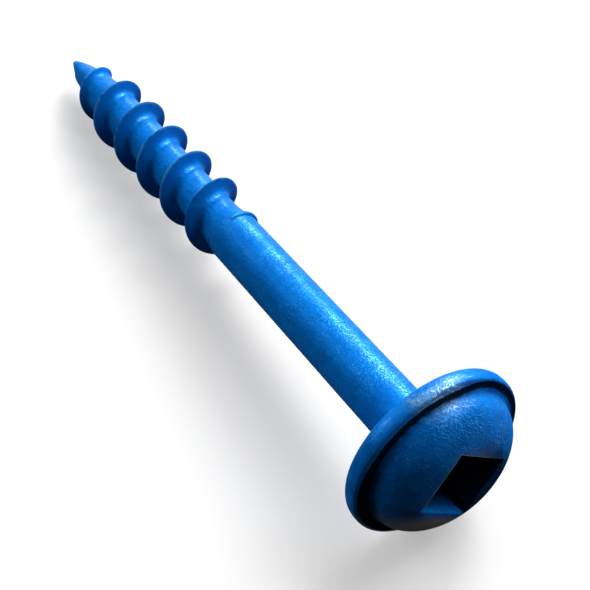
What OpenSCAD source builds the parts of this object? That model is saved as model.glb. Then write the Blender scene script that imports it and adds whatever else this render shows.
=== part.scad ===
// Pocket hole screw, lying on its side: a washer head with a square recess, a
// smooth shank, a deep coarse wood thread and a gimlet point with a cutting
// notch. Lengths are in millimetres. The screw's axis passes through the
// origin, which is the centre of the bearing face under the head. The screw
// leans on the rim of its flange and on one crest of its thread.

/* [Length] */
// Length from the bearing face under the head to the tip
screw_len = 38.1; // [34:0.1:64]
// Length of smooth shank between the bearing face and the start of the thread
shank_len = 16.8; // [10:0.05:18]
// Diameter of the smooth shank
shank_d = 2.86; // [2.7:0.01:3.2]
// Radius of the fillet where the shank meets the bearing face
neck_fillet = 0.3; // [0.05:0.05:0.6]

/* [Head] */
// Diameter of the washer flange
flange_d = 8.82; // [8:0.02:12]
// Thickness of the flange at its rim
flange_t = 0.86; // [0.6:0.02:1.2]
// Radial depth of the rounding around the rim
rim_round = 0.24; // [0.1:0.02:0.5]
// Width of the sloping front face between the rim and the crease
face_w = 0.47; // [0.1:0.02:0.6]
// Rise of the front face from the rim to the crease
face_rise = 0.12; // [0.05:0.01:0.4]
// Height of the dome above the crease
dome_h = 1.95; // [1.5:0.01:2.6]
// Fullness of the dome towards its side, where 2 is an ellipse
dome_side = 2.2; // [2:0.05:4]
// Fullness of the dome towards its crown, where 2 is an ellipse
dome_crown = 1.95; // [1.4:0.05:3]
// Share of the dome's height from which its crown is pressed flat
crown_flat = 0.8; // [0.7:0.01:1]
// Share of the dome's height over which the pressed crown eases off
crown_ease = 0.03; // [0.01:0.01:0.1]

/* [Square recess] */
// Width across the flats at the mouth of the recess
drive_w = 3.1; // [2.6:0.05:3.3]
// Narrowing of the recess from its mouth to its floor
drive_taper = 0.26; // [0.05:0.01:0.5]
// Depth of the recess floor below the dome's crown as it is before pressing
drive_depth = 2.25; // [1.6:0.05:2.4]
// Depth of the pyramid that the punch leaves in the floor
drive_pip = 0.35; // [0.1:0.05:0.5]
// Turn of the square about the screw's axis in degrees
drive_turn = 50.3; // [0:0.1:90]

/* [Thread] */
// Outer diameter of the thread
thread_d = 4.04; // [3.7:0.01:4.8]
// Diameter of the core between the threads
core_d = 2.46; // [2.1:0.02:2.64]
// Distance between neighbouring crests
pitch = 2.97; // [2.4:0.01:4]
// Width of the flat on the crest
crest_w = 0.1; // [0.05:0.01:0.25]
// Axial run of the flank that faces the head
head_flank = 0.3; // [0.2:0.01:0.7]
// Axial run of the flank that faces the tip
tip_flank = 0.55; // [0.3:0.01:0.8]
// Axial run of the fillet at the foot of each flank
root_fillet = 0.26; // [0.1:0.01:0.35]
// Length over which the thread rises out of the shank
runout_len = 2.65; // [2:0.05:6]
// Turn about the axis, in degrees, at which the crest leaves the shank
thread_turn = 190.6; // [0:0.1:359]
// Facets in one turn of the thread
turn_steps = 48; // [24:12:48]

/* [Point] */
// Length over which the core and the thread taper to the tip
point_len = 8.65; // [6:0.01:12]
// Length of the cutting notch, from the tip to where it leaves the crest
notch_len = 6; // [4:0.1:8]
// Radius of the blunted tip
tip_r = 0.11; // [0.06:0.01:0.2]
// Metal left beside the axis at the notch's inner corner
notch_web = 0.22; // [0.1:0.01:0.4]
// Turn of the notch about the axis in degrees
notch_turn = 33; // [0:0.5:359]

/* [Hidden] */
coat_blue = [0.03, 0.40, 0.80];
shank_r = shank_d / 2;
core_r = core_d / 2;
thread_r = thread_d / 2;
flange_r = flange_d / 2;
crease_r = flange_r - rim_round - face_w;
crease_h = flange_t + face_rise;
head_h = crease_h + dome_h;
arc_steps = 12;
dome_steps = 24;
// The shank's end narrows into the core over this length.
blend_run = 3;
// The crest starts this far under the shank's surface.
crest_sink = 0.02;
// The crest's first end bends away from the head by this much, and is back on
// the helix after this share of a turn.
start_bend = 0.45;
bend_turns = 0.3;
// Shares of a turn before its start at which the thread is nothing and full.
fade_from = 0.08;
fade_run = 0.1;
// Share of the taper, from the tip, over which the thread fades in, and how
// much wider it grows there.
tip_fade = 0.4;
tip_spread = 0.6;
// Power laws of the first bend, of the run-out and of the two tapers at the
// point.
bend_pow = 1.3;
runout_pow = 2.8;
crest_pow = 2.17;
core_pow = 2.99;

// Fraction of the way from the tip to the full thread, at height z.
function along(z) = min(1, max(0, (z + screw_len) / point_len));
// Core radius at height z.
function core_at(z) = tip_r + (core_r - tip_r) * (1 - pow(1 - along(z), core_pow));
// Fraction of the way through the run-out, at height z.
function rising(z) = min(1, max(0, (-shank_len - z) / runout_len));
// Crest radius where the thread leaves the shank.
function crest_out(z) = z > -shank_len ? core_r
    : shank_r - crest_sink
    + (thread_r - shank_r + crest_sink) * (1 - pow(1 - rising(z), runout_pow));
// Crest radius at height z.
function crest_at(z) = crest_out(z) * (1 - pow(1 - along(z), crest_pow));
// Turns wound since the thread's start, by turn and by angle about the axis.
function wound(turn, angle) = turn + (thread_turn - angle) / 360;
// Share of the first bend that is left after some turns.
function bent(turns) = pow(1 - min(1, max(0, turns) / bend_turns), bend_pow);
// Height of the crest's centre line, by turn and by angle about the axis.
function crest_z(turn, angle) =
    let (turns = wound(turn, angle))
    start_bend * (1 - bent(turns)) - shank_len - pitch * turns;
// Share of the thread's depth that stands near its start.
function started(turns) = min(1, max(0, (turns + fade_from) / fade_run));
// Widening of the section at height z.
function spread(z) = 1 + tip_spread * max(0, 1 - along(z) / tip_fade);

// One pitch of the thread's section, from the head's side to the tip's:
// offset from the crest's centre, and share of the thread's depth.
section = [
    [crest_w / 2 + head_flank + root_fillet, 0],
    [crest_w / 2 + head_flank, 0.05],
    [crest_w / 2 + head_flank * 0.68, 0.22],
    [crest_w / 2 + head_flank * 0.34, 0.58],
    [crest_w / 2, 1],
    [-crest_w / 2, 1],
    [-crest_w / 2 - tip_flank * 0.34, 0.58],
    [-crest_w / 2 - tip_flank * 0.68, 0.22],
    [-crest_w / 2 - tip_flank, 0.05],
    [-crest_w / 2 - tip_flank - root_fillet, 0]
];
rows_per_turn = len(section);
first_turn = -1;
// Near the tip the rows crowd together over this length, so that they all
// stop short of the tip.
crowd_len = 2.0;
crowd_z = crowd_len - screw_len;
function crowded(z) = z > crowd_z ? z
    : crowd_len * exp((z - crowd_z) / crowd_len) - screw_len;
// Lowest that a row may lie before the rows are crowded together.
lowest_row = crowd_z - 2.6 * crowd_len;
last_turn = floor((section[0][0] + start_bend - shank_len - lowest_row) / pitch
    - thread_turn / 360);
rows = (last_turn - first_turn) * rows_per_turn;

// Point of the threaded surface, by row down the helix and step round it.
function thread_point(row, step) =
    let (turn = first_turn + floor(row / rows_per_turn))
    let (cut = section[row % rows_per_turn])
    let (angle = step * 360 / turn_steps)
    let (crest = crest_z(turn, angle))
    let (z = crowded(crest + cut[0] * spread(crest)))
    let (share = started(wound(turn, angle)) * min(1, along(z) / tip_fade))
    let (depth = max(0, crest_at(z) - core_at(z)) * share)
    let (r = core_at(z) + depth * cut[1])
    [r * cos(angle), r * sin(angle), z];
// Index of a point. A step past the seam continues one turn higher up.
function point_at(row, step) = step < turn_steps
    ? row * turn_steps + step
    : (row - rows_per_turn) * turn_steps;

// Resting pose: the tilt at which the flange's rim and the crest that stands
// out furthest below the axis touch the same flat surface.
rim_z = flange_t / 2;
rim_r = flange_r - rim_round;
function tilt_on(z) =
    let (run = rim_z - z)
    let (drop = rim_r - crest_at(z))
    atan2(drop, run) + asin(rim_round / norm([run, drop]));
rest_tilt = min([for (turn = [0 : last_turn])
    if (crest_z(turn, 0) > crowd_z) tilt_on(crest_z(turn, 0))]);

// Share of the dome's height that is left once the crown is pressed flat.
function pressed(share) = share < crown_flat ? share
    : crown_flat + crown_ease * (1 - exp((crown_flat - share) / crown_ease));
// Outline of the head and the smooth shank, from the crown round to the core.
dome_outline = [for (i = [0 : dome_steps])
    let (a = 90 - 90 * i / dome_steps)
    [crease_r * pow(cos(a), 2 / dome_side),
     crease_h + dome_h * pressed(pow(sin(a), 2 / dome_crown))]];
rim_outline = [for (i = [0 : arc_steps])
    let (a = 90 - 180 * i / arc_steps)
    [rim_r + rim_round * cos(a), rim_z + rim_z * sin(a)]];
neck_outline = [for (i = [0 : arc_steps / 2])
    let (a = 90 * i / (arc_steps / 2))
    [shank_r + neck_fillet * (1 - sin(a)), neck_fillet * (cos(a) - 1)]];

module head_and_shank() {
    color(coat_blue)
    rotate_extrude($fn = 96)
    polygon(concat(
        dome_outline,
        rim_outline,
        neck_outline,
        [
            [shank_r, -shank_len],
            [core_r * 0.8, -shank_len - blend_run],
            [0, -shank_len - blend_run]
        ]
    ));
}

// Prism whose section is the recess seen from the side.
module recess_section() {
    half = drive_w / 2;
    floor_half = (drive_w - drive_taper) / 2;
    rotate([90, 0, 0])
    linear_extrude(height = 2 * drive_w, center = true)
    polygon([
        [-half - drive_taper / 2, drive_depth],
        [-half, 0],
        [-floor_half, -drive_depth],
        [0, -drive_depth - drive_pip],
        [floor_half, -drive_depth],
        [half, 0],
        [half + drive_taper / 2, drive_depth]
    ]);
}

module square_recess() {
    color(coat_blue)
    translate([0, 0, head_h])
    rotate([0, 0, drive_turn])
    intersection() {
        recess_section();
        rotate([0, 0, 90])
        recess_section();
    }
}

// Core and thread in one closed surface: rows of points that follow the
// helix, closed inside the shank and at the tip.
module threaded_core() {
    top = rows_per_turn;
    top_rim = concat(
        [for (s = [0 : turn_steps - 1]) point_at(0, s)],
        [for (r = [1 : top]) point_at(r, turn_steps - 1)]
    );
    end_rim = concat(
        [for (s = [turn_steps - 1 : -1 : 0]) point_at(rows, s)],
        [for (r = [rows - 1 : -1 : rows - top]) point_at(r, 0)]
    );
    crown = (rows + 1) * turn_steps;
    tip = crown + 1;
    points = concat(
        [for (r = [0 : rows], s = [0 : turn_steps - 1]) thread_point(r, s)],
        [[0, 0, crest_z(first_turn, 180) + section[0][0]], [0, 0, -screw_len]]
    );
    sides = [for (r = [0 : rows - 1], s = [0 : turn_steps - 1])
        if (s < turn_steps - 1 || r >= top)
        each [
            [point_at(r, s), point_at(r, s + 1), point_at(r + 1, s + 1)],
            [point_at(r, s), point_at(r + 1, s + 1), point_at(r + 1, s)]
        ]];
    caps = concat(
        [for (i = [0 : len(top_rim) - 1])
            [crown, top_rim[(i + 1) % len(top_rim)], top_rim[i]]],
        [for (i = [0 : len(end_rim) - 1])
            [tip, end_rim[(i + 1) % len(end_rim)], end_rim[i]]]
    );
    color(coat_blue)
    polyhedron(points = points, faces = concat(sides, caps), convexity = 20);
}

// A corner cut along the point, deepest at the tip and running out upwards.
module cutting_notch() {
    lean = atan((thread_r - notch_web) / notch_len);
    color(coat_blue)
    rotate([0, 0, notch_turn])
    translate([notch_web, notch_web / 2, -screw_len])
    rotate([0, lean, 0])
    translate([0, 0, -notch_len])
    cube([3 * thread_r, 3 * thread_r, 3 * notch_len]);
}

module screw() {
    rotate([0, 90 - rest_tilt, 0])
    union() {
        difference() {
            head_and_shank();
            square_recess();
        }
        difference() {
            threaded_core();
            cutting_notch();
        }
    }
}

screw();
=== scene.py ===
"""Pocket hole screw with a well-used blue coating, lying on its side on a pale floor."""
import logging
import math
from collections.abc import Mapping, Sequence
from dataclasses import dataclass, field
from enum import Enum
from typing import Any

import bmesh
import bpy
from mathutils import Matrix, Vector


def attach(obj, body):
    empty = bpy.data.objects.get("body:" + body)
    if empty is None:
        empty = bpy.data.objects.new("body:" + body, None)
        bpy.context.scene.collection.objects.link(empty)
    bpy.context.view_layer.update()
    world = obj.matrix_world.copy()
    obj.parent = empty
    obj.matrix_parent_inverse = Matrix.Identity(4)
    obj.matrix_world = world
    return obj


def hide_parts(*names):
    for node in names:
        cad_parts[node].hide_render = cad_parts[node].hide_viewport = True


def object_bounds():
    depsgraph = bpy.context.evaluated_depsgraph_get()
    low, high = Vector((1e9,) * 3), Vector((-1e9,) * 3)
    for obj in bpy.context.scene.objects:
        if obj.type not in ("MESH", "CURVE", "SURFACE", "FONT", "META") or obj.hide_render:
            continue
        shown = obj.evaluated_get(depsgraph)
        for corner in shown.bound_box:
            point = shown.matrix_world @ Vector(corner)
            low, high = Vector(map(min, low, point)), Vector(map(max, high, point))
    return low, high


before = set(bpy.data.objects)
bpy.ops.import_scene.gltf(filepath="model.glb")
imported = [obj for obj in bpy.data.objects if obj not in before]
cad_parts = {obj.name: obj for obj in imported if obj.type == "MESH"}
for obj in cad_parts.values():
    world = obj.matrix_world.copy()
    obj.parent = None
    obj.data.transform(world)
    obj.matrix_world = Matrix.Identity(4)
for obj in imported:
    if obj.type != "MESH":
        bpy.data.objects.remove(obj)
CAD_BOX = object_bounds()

LOG = logging.getLogger("screw")
MM = 0.001
NOISE_MEAN = 0.5
MIX_UNDER, MIX_OVER, MIX_RESULT = 6, 7, 2  # places of a Mix node's colour sockets
Place = tuple[float, float, float]
Colour = tuple[float, float, float]
Paint = Colour | bpy.types.NodeSocket
Stops = tuple[float, float]
Rows = tuple[float, ...]
Outline = list[tuple[float, float]]


class Mark(Enum):
    """Names of the attributes that the mesh carries for its finish."""

    CREST = "crest_share"
    # Line of painted shade beside the run-out's lip.
    LIP_SHADE = "lip_shade_share"
    MOUTH = "mouth_edge"


class Zone(Enum):
    """Slots of the record that the pieces take their finish from."""

    COATING = "blue_coating"


class Value:
    """A number socket that Python's operators can be written on."""

    def __init__(self, graph: "Graph", socket: bpy.types.NodeSocket) -> None:
        """Keeps the socket and the graph that it is in."""
        self.graph = graph
        self.socket = socket

    def __add__(self, other: "Number") -> "Value":
        """Adds."""
        return self.graph.math("ADD", self, other)

    __radd__ = __add__

    def __sub__(self, other: "Number") -> "Value":
        """Takes the other away."""
        return self.graph.math("SUBTRACT", self, other)

    def __rsub__(self, other: "Number") -> "Value":
        """Takes this away from a plain number."""
        return self.graph.math("SUBTRACT", other, self)

    def __mul__(self, other: "Number") -> "Value":
        """Multiplies."""
        return self.graph.math("MULTIPLY", self, other)

    __rmul__ = __mul__

    def __truediv__(self, other: "Number") -> "Value":
        """Divides by the other."""
        return self.graph.math("DIVIDE", self, other)

    def __pow__(self, other: "Number") -> "Value":
        """Raises to a power."""
        return self.graph.math("POWER", self, other)

    def __abs__(self) -> "Value":
        """Drops the sign."""
        return self.graph.math("ABSOLUTE", self)

    def least(self, other: "Number") -> "Value":
        """Returns the smaller of the two."""
        return self.graph.math("MINIMUM", self, other)

    def most(self, other: "Number") -> "Value":
        """Returns the larger of the two."""
        return self.graph.math("MAXIMUM", self, other)

    def above(self, other: "Number") -> "Value":
        """Returns 1 where this is the larger, else 0."""
        return self.graph.math("GREATER_THAN", self, other)

    def root(self) -> "Value":
        """Takes the square root."""
        return self.graph.math("SQRT", self)

    def share(self) -> "Value":
        """Holds the value between 0 and 1."""
        return self.most(0.0).least(1.0)

    def lift(self, low: float) -> "Value":
        """Raises 0 to a low share and leaves 1 as it is."""
        return low + (1.0 - low) * self

    def ramp(self, low: float, high: float) -> "Value":
        """Rises softly from 0 to 1 between two values.

        Args:
            low: Value at which the result is 0.
            high: Value at which the result is 1. It may be the smaller one.

        Returns:
            The eased share.
        """
        node = self.graph.add(
            "ShaderNodeMapRange", {"interpolation_type": "SMOOTHSTEP"},
            {"Value": self, "From Min": min(low, high), "From Max": max(low, high)})
        eased = Value(self.graph, node.outputs[0])
        return eased if low < high else 1.0 - eased


Number = Value | float


class Graph:
    """Adds nodes to one tree, of a shape or of a finish."""

    def __init__(self, tree: bpy.types.NodeTree) -> None:
        """Keeps the tree."""
        self.tree = tree

    def add(self, kind: str, settings: Mapping[str, Any] | None = None,
            inputs: Mapping[str | int, Any] | None = None) -> bpy.types.Node:
        """Adds one node.

        Args:
            kind: Type of the node.
            settings: Properties of the node, set before its sockets.
            inputs: Values or links, by the socket's name or place.

        Returns:
            The new node.
        """
        node = self.tree.nodes.new(kind)
        for name, setting in (settings or {}).items():
            setattr(node, name, setting)
        for name, value in (inputs or {}).items():
            if isinstance(value, Value):
                value = value.socket
            if isinstance(value, bpy.types.NodeSocket):
                self.tree.links.new(value, node.inputs[name])
            else:
                node.inputs[name].default_value = value
        return node

    def math(self, operation: str, *terms: Number) -> Value:
        """Adds one Math node.

        Args:
            operation: What the node does.
            terms: Its numbers, in order.

        Returns:
            The result.
        """
        node = self.add("ShaderNodeMath", {"operation": operation}, dict(enumerate(terms)))
        return Value(self, node.outputs[0])

    def split(self, vector: bpy.types.NodeSocket) -> list[Value]:
        """Takes a vector apart into its three numbers."""
        node = self.add("ShaderNodeSeparateXYZ", None, {0: vector})
        return [Value(self, number) for number in node.outputs]

    def join(self, *numbers: Number) -> bpy.types.NodeSocket:
        """Makes a vector of three numbers."""
        return self.add("ShaderNodeCombineXYZ", None, dict(enumerate(numbers))).outputs[0]

    def mix(self, share: Number, under: Paint, over: Paint) -> bpy.types.NodeSocket:
        """Lays one colour over another.

        Args:
            share: How much of the upper colour shows.
            under: Lower colour, or its socket.
            over: Upper colour, or its socket.

        Returns:
            The mixed colour.
        """
        lower, upper = (paint if isinstance(paint, bpy.types.NodeSocket) else (*paint, 1.0)
                        for paint in (under, over))
        node = self.add("ShaderNodeMix", {"data_type": "RGBA"},
                        {0: share, MIX_UNDER: lower, MIX_OVER: upper})
        return node.outputs[MIX_RESULT]

    def seen(self) -> Value:
        """Tells the rays of the view, straight, in gloss or through glass, from the light's.

        Returns:
            1 for a ray of the view and 0 for any other.
        """
        path = self.add("ShaderNodeLightPath")
        rays = [Value(self, path.outputs[f"Is {kind} Ray"])
                for kind in ("Camera", "Glossy", "Transmission")]
        return (rays[0] + rays[1] + rays[2]).share()


def blank_material(name: str) -> tuple[bpy.types.Material, Graph]:
    """Makes a material that has no nodes yet.

    Args:
        name: Name of the material.

    Returns:
        The material and its graph.
    """
    material = bpy.data.materials.new(name)
    material.use_nodes = True
    material.node_tree.nodes.clear()
    return material, Graph(material.node_tree)


@dataclass
class Head:
    """Washer head with a dome and a square recess, in millimetres."""

    flange_d: float = 8.82
    flange_t: float = 0.86
    rim_round: float = 0.24
    front_full: float = 3.0
    back_full: float = 2.0
    face_w: float = 0.47
    face_rise: float = 0.12
    crease_fillet: float = 0.22
    dome_h: float = 1.95
    dome_side: float = 2.2
    dome_crown: float = 1.95
    crown_flat: float = 0.8
    crown_ease: float = 0.03
    drive_w: float = 3.1
    drive_taper: float = 0.26
    drive_depth: float = 2.25
    drive_pip: float = 0.35
    drive_turn: float = 50.3
    floor_ease: float = 0.012
    foot_h: float = 0.05
    mouth_round: float = 0.07
    mouth_tries: int = 6
    mouth_rows: int = 4
    crease_rows: int = 5
    rim_rows: int = 24
    floor_rows: Rows = (0.3, 0.6, 0.85, 0.95)
    wall_rows: Rows = (0.1, 0.3, 0.5, 0.7, 0.85, 0.95, 1.0)
    dome_rows: Rows = (0.012, 0.03, 0.06, 0.1, *(0.15 + 0.05 * i for i in range(15)),
                       0.9, 0.94, 0.97, 0.99, 1.0)
    face_rows: Rows = (0.08, 0.35, 0.65, 0.92)

    @property
    def rim_r(self) -> float:
        """Radius at which the rim's rounding starts."""
        return self.flange_d / 2 - self.rim_round

    @property
    def crease_r(self) -> float:
        """Radius of the crease round the dome."""
        return self.rim_r - self.face_w

    @property
    def crease_h(self) -> float:
        """Height of the crease above the bearing face."""
        return self.flange_t + self.face_rise

    @property
    def height(self) -> float:
        """Height of the crown above the bearing face."""
        return self.crease_h + self.dome_h

    def pressed(self, share: float) -> float:
        """Presses the crown flat.

        Args:
            share: Share of the dome's height before pressing.

        Returns:
            The share that is left.
        """
        if share < self.crown_flat:
            return share
        past = (self.crown_flat - share) / self.crown_ease
        return self.crown_flat + self.crown_ease * (1 - math.exp(past))

    def dome_z(self, radius: float) -> float:
        """Height of the dome at a radius."""
        share = max(0.0, 1 - min(1.0, radius / self.crease_r) ** self.dome_side)
        return self.crease_h + self.dome_h * self.pressed(share ** (1 / self.dome_crown))

    def half_at(self, z: float) -> float:
        """Half of the recess's width at a height."""
        return (self.drive_w + (z - self.height) * self.drive_taper / self.drive_depth) / 2

    def recess(self, corner: float) -> tuple[Outline, int]:
        """Outline of the recess from its floor to the dome, along one direction.

        Args:
            corner: Cosine of the angle between the direction and the nearest wall's normal.

        Returns:
            Radii and heights, and how many of them lie below the mouth's rounding.
        """
        floor_z = self.height - self.drive_depth
        floor_half, foot_z = self.half_at(floor_z), floor_z + self.foot_h
        path = [(floor_half * k, floor_z - self.drive_pip * (1 - k)) for k in self.floor_rows]
        path.append((floor_half - self.floor_ease, floor_z + self.floor_ease))
        path.append((self.half_at(foot_z), foot_z))
        mouth_z = self.dome_z(self.half_at(self.height) / corner)
        for _ in range(self.mouth_tries):
            mouth_z = self.dome_z((self.half_at(mouth_z) + self.mouth_round) / corner)
        top = mouth_z - self.mouth_round
        for k in self.wall_rows:
            z = foot_z + (top - foot_z) * k
            path.append((self.half_at(z), z))
        below = len(path) - 1
        wall = self.half_at(top)
        for k in range(1, self.mouth_rows + 1):
            turn = math.pi / 2 * k / self.mouth_rows
            path.append((wall + self.mouth_round * (1 - math.cos(turn)),
                         top + self.mouth_round * math.sin(turn)))
        return [(half / corner, z) for half, z in path], below

    def dome(self, mouth_r: float) -> Outline:
        """Outline of the dome and of the fillet in the crease round it.

        Args:
            mouth_r: Radius at which the recess's mouth ends.

        Returns:
            Radii and heights.
        """
        fillet, slope = self.crease_fillet, math.atan2(self.face_rise, self.face_w)
        centre_z = self.crease_h - fillet * math.tan(slope) + fillet / math.cos(slope)
        first = math.acos((mouth_r / self.crease_r) ** (self.dome_side / 2))
        last = math.asin(((centre_z - self.crease_h) / self.dome_h) ** (self.dome_crown / 2))
        path = []
        for k in self.dome_rows:
            lean = first + (last - first) * k
            share = self.pressed(math.sin(lean) ** (2 / self.dome_crown))
            path.append((self.crease_r * math.cos(lean) ** (2 / self.dome_side),
                         self.crease_h + self.dome_h * share))
        for k in range(1, self.crease_rows + 1):
            bend = math.pi + (math.pi / 2 - slope) * k / self.crease_rows
            path.append((self.crease_r + fillet + fillet * math.cos(bend),
                         centre_z + fillet * math.sin(bend)))
        return path

    def rim(self, inner_r: float, inner_z: float) -> Outline:
        """Outline of the sloping front face and of the rounded rim.

        Args:
            inner_r: Radius at which the face starts.
            inner_z: Height at which the face starts.

        Returns:
            Radii and heights.
        """
        path = [(inner_r + (self.rim_r - inner_r) * k, inner_z + (self.flange_t - inner_z) * k)
                for k in self.face_rows]
        for k in range(self.rim_rows + 1):
            bend = math.pi / 2 - math.pi * k / self.rim_rows
            full = 2 / (self.front_full if bend > 0 else self.back_full)
            rise = math.copysign(abs(math.sin(bend)) ** full, bend)
            path.append((self.rim_r + self.rim_round * max(0.0, math.cos(bend)) ** full,
                         self.flange_t / 2 * (1 + rise)))
        return path

    def meridian(self, angle: float) -> tuple[Outline, range]:
        """Outline of the head from the recess's floor to the bearing face.

        Args:
            angle: Direction about the screw's axis, in degrees.

        Returns:
            Radii and heights, and the places in that list of the mouth's rounding.
        """
        turn = math.radians(angle - self.drive_turn)
        path, below = self.recess(max(abs(math.cos(turn)), abs(math.sin(turn))))
        mouth = range(below, len(path))
        path += self.dome(path[-1][0])
        path += self.rim(*path[-1])
        return path, mouth


@dataclass
class Shank:
    """Smooth shank under the head, in millimetres."""

    length: float = 16.8
    diameter: float = 2.86
    neck_fillet: float = 0.3
    edge_gap: float = 0.03
    neck_gap: float = 0.04
    seat_row: float = 0.7
    neck_rows: int = 8
    rows: int = 12

    def meridian(self, flange_r: float, seam_z: float) -> Outline:
        """Outline from the bearing face down to the thread's seam.

        Args:
            flange_r: Radius at which the bearing face starts.
            seam_z: Height at which the threaded piece takes over.

        Returns:
            Radii and heights.
        """
        shank_r, neck = self.diameter / 2, self.neck_fillet
        path = [(flange_r - self.edge_gap, 0.0), (flange_r * self.seat_row, 0.0),
                (shank_r + neck + self.edge_gap, 0.0)]
        for k in range(self.neck_rows + 1):
            bend = math.pi / 2 * k / self.neck_rows
            path.append((shank_r + neck * (1 - math.sin(bend)), neck * (math.cos(bend) - 1)))
        path.append((shank_r, -neck - self.neck_gap))
        path += [(shank_r, -neck + (seam_z + neck) * k / self.rows)
                 for k in range(1, self.rows + 1)]
        return path


@dataclass(frozen=True)
class LipShade:
    """Painted shade: a thin dark line beside the lip of the thread's run-out, in millimetres and
    turns.
    """

    lip: Stops = (0.02, 0.07)
    valley: Stops = (0.24, 0.14)
    start: Stops = (-0.02, 0.04)
    end: Stops = (0.42, 0.28)

    def share(self, offset: Value, turns: Value) -> Value:
        """Share of the line at a point of the threaded surface.

        Args:
            offset: Distance from the crest's centre line, towards the head if positive.
            turns: Turns wound since the thread's start.

        Returns:
            1 on the line and 0 beside it.
        """
        across = offset.ramp(*self.lip) * offset.ramp(*self.valley)
        return across * turns.ramp(*self.start) * turns.ramp(*self.end)


@dataclass
class Thread:
    """Deep coarse thread, from its run-out on the shank to the point, in millimetres."""

    outer_d: float = 4.04
    core_d: float = 2.46
    pitch: float = 2.97
    crest_w: float = 0.1
    head_flank: float = 0.3
    tip_flank: float = 0.55
    root_fillet: float = 0.26
    head_hollow: float = 3.0
    tip_hollow: float = 2.4
    runout_len: float = 2.65
    runout_pow: float = 2.8
    turn: float = 190.6
    start_bend: float = 0.45
    bend_turns: float = 0.3
    bend_pow: float = 1.3
    fade_from: float = 0.08
    fade_run: float = 0.1
    crest_sink: float = 0.02
    crest_pow: float = 2.17
    core_pow: float = 2.99
    blend_run: float = 3.0
    cone_share: float = 0.8
    valley_round: float = 0.10
    point_len: float = 8.65
    tip_r: float = 0.11
    tip_close: float = 0.15
    tip_fade: float = 0.4
    tip_spread: float = 0.6
    tip_snap: float = 0.02
    crowd_len: float = 2.0
    row_crowding: float = 1.6
    merge_gap: float = 0.0001
    seam_rise: float = 1.0
    rows: int = 24
    turns: int = 12
    lip_shade: LipShade = LipShade()

    def seam_z(self, shank_len: float) -> float:
        """Height at which the smooth shank ends and the threaded piece starts."""
        return self.seam_rise - shank_len

    def sizes(self, screw_len: float, shank: Shank, first_angle: float,
              steps: int) -> dict[str, float]:
        """Named inputs of the winding tree.

        Args:
            screw_len: Length from the bearing face to the tip.
            shank: The smooth shank that the thread starts on.
            first_angle: Angle of the first column of points, in degrees.
            steps: Points round the axis.

        Returns:
            The value of each input, by its name.
        """
        return {
            "Screw Length": screw_len, "Shank Length": shank.length,
            "Shank Radius": shank.diameter / 2, "Seam Height": self.seam_z(shank.length),
            "Outer Radius": self.outer_d / 2, "Core Radius": self.core_d / 2,
            "Pitch": self.pitch, "Crest Width": self.crest_w,
            "Head Flank": self.head_flank + self.root_fillet,
            "Tip Flank": self.tip_flank + self.root_fillet,
            "Head Hollow": self.head_hollow, "Tip Hollow": self.tip_hollow,
            "Run-out Length": self.runout_len, "Run-out Power": self.runout_pow,
            "Thread Turn": self.turn, "Start Bend": self.start_bend,
            "Bend Turns": self.bend_turns, "Bend Power": self.bend_pow,
            "Fade From": self.fade_from, "Fade Run": self.fade_run,
            "Crest Sink": self.crest_sink, "Crest Power": self.crest_pow,
            "Core Power": self.core_pow, "Blend Run": self.blend_run,
            "Cone Share": self.cone_share, "Valley Rounding": self.valley_round,
            "Point Length": self.point_len, "Tip Radius": self.tip_r,
            "Tip Closing": self.tip_close, "Tip Fade": self.tip_fade,
            "Tip Spread": self.tip_spread, "Tip Snap": self.tip_snap,
            "Crowd Length": self.crowd_len, "Row Crowding": self.row_crowding,
            "Merge Distance": self.merge_gap, "First Angle": first_angle, "Steps": steps,
            "Rows per Turn": self.rows, "Turns": self.turns,
        }


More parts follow.
